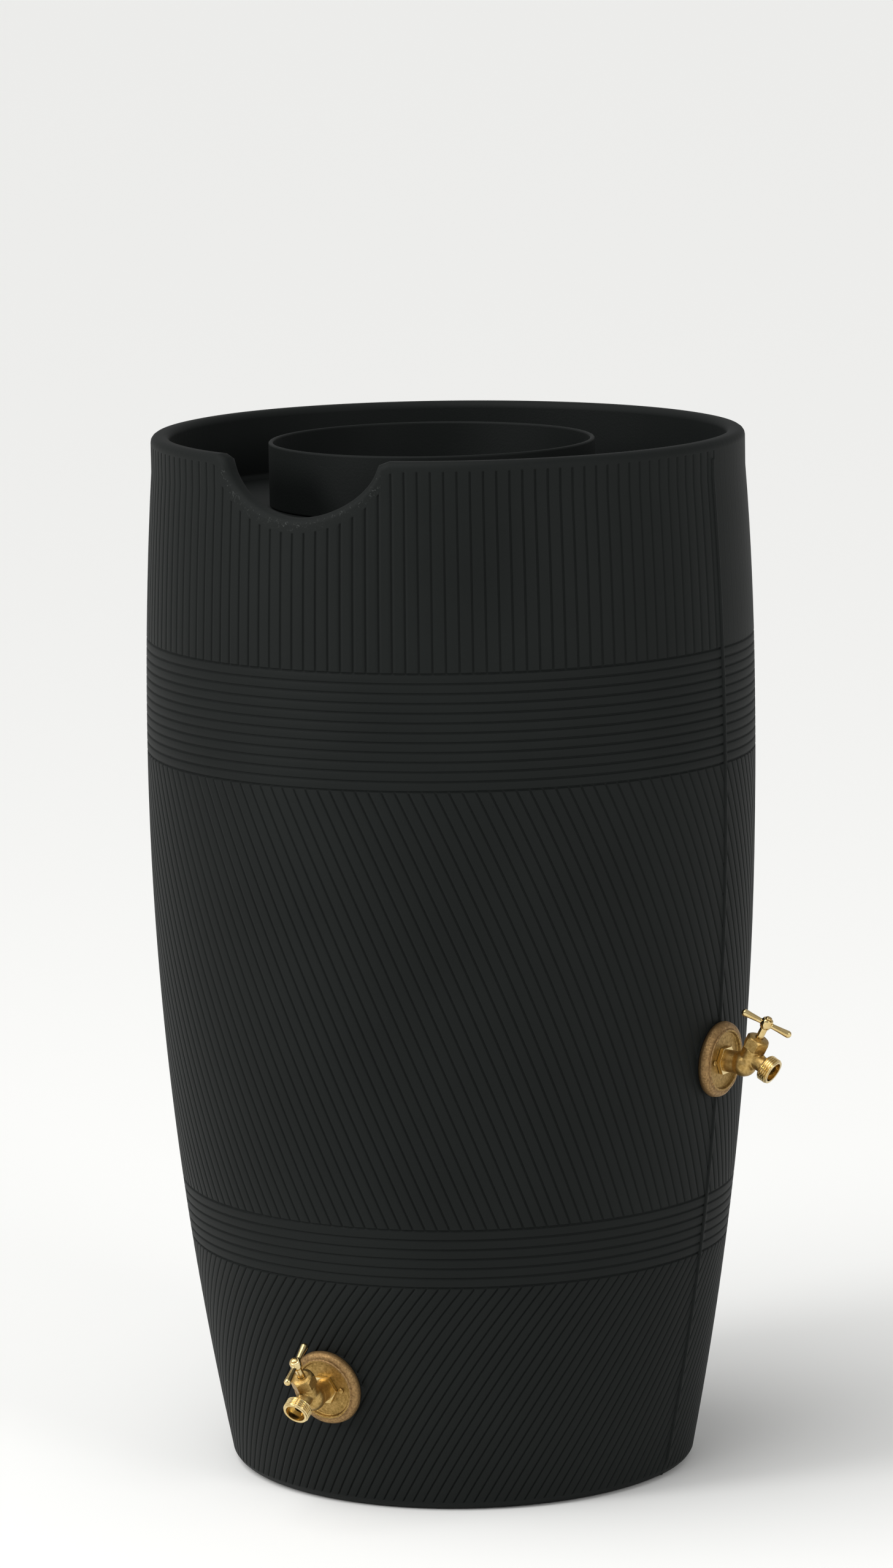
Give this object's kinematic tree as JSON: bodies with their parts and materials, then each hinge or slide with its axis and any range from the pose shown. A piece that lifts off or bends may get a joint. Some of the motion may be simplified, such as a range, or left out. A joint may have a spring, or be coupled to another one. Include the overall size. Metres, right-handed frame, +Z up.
{
  "type": "rain barrel",
  "caption": "Tall moulded rain barrel with a planter bowl in its top, a screened downspout inlet, a front overflow notch and brass hose taps.",
  "frame": {"origin": "on the barrel's axis, at the flat underside that stands on the ground", "axes": "+Z up along the barrel; the front, with the overflow notch and the low tap, faces -Y; the side tap faces +X"},
  "size_m": [0.6796, 0.6185, 1.035],
  "materials": {
    "black_polyethylene": "rotomoulded, fine matt grain",
    "sand_cast_brass": "rough sand casting, dull brown skin",
    "polished_brass": "tumbled and machined, bright",
    "rubber": "moulded, matt",
    "stainless_mesh": "woven wire"
  },
  "bodies": {
    "tank": {"tank_shell": "black_polyethylene", "front_wall_flange": "sand_cast_brass", "front_flange_screw_left": "polished_brass", "front_flange_screw_right": "polished_brass", "front_valve_body": "polished_brass", "front_wall_gasket": "rubber", "front_lock_nut": "polished_brass", "front_packing_nut": "polished_brass", "front_packing_washer": "rubber", "side_wall_flange": "sand_cast_brass", "side_flange_screw_left": "polished_brass", "side_flange_screw_right": "polished_brass", "side_valve_body": "polished_brass", "side_wall_gasket": "rubber", "side_lock_nut": "polished_brass", "side_packing_nut": "polished_brass", "side_packing_washer": "rubber"},
    "planter": {"planter_bowl": "black_polyethylene"},
    "strainer": {"strainer_ring": "black_polyethylene", "strainer_mesh": "stainless_mesh"},
    "front_washer": {"front_seat_washer": "rubber", "front_washer_screw": "polished_brass"},
    "front_handle": {"front_stem": "polished_brass", "front_tee_handle": "polished_brass", "front_handle_screw": "polished_brass"},
    "side_washer": {"side_seat_washer": "rubber", "side_washer_screw": "polished_brass"},
    "side_handle": {"side_stem": "polished_brass", "side_tee_handle": "polished_brass", "side_handle_screw": "polished_brass"}
  },
  "joints": [
    {"name": "planter_lift", "type": "slide", "parent": "tank", "child": "planter", "axis": [0, 0, 1], "range_m": [0, 0.24]},
    {"name": "strainer_lift", "type": "slide", "parent": "tank", "child": "strainer", "axis": [0, 0, 1], "range_m": [0, 0.06]},
    {"name": "front_washer_lift", "type": "slide", "parent": "tank", "child": "front_washer", "axis": [-0.0058, -0.5509, 0.8345], "range_m": [0, 0.004]},
    {"name": "front_tap_turn", "type": "hinge", "parent": "front_washer", "child": "front_handle", "pos_m": [-0.00303, -0.28924, 0.11954], "axis": [-0.0058, -0.5509, 0.8345], "range_deg": [0, 720]},
    {"name": "side_washer_lift", "type": "slide", "parent": "tank", "child": "side_washer", "axis": [0.4778, -0.01, 0.8784], "range_m": [0, 0.004]},
    {"name": "side_tap_turn", "type": "hinge", "parent": "side_washer", "child": "side_handle", "pos_m": [0.32699, -0.00685, 0.42736], "axis": [0.4778, -0.01, 0.8784], "range_deg": [0, 720]}
  ],
  "couplings": [
    {"joint": "front_washer_lift", "follows": "front_tap_turn", "m_per_rad": 0.00031831},
    {"joint": "side_washer_lift", "follows": "side_tap_turn", "m_per_rad": 0.00031831}
  ]
}
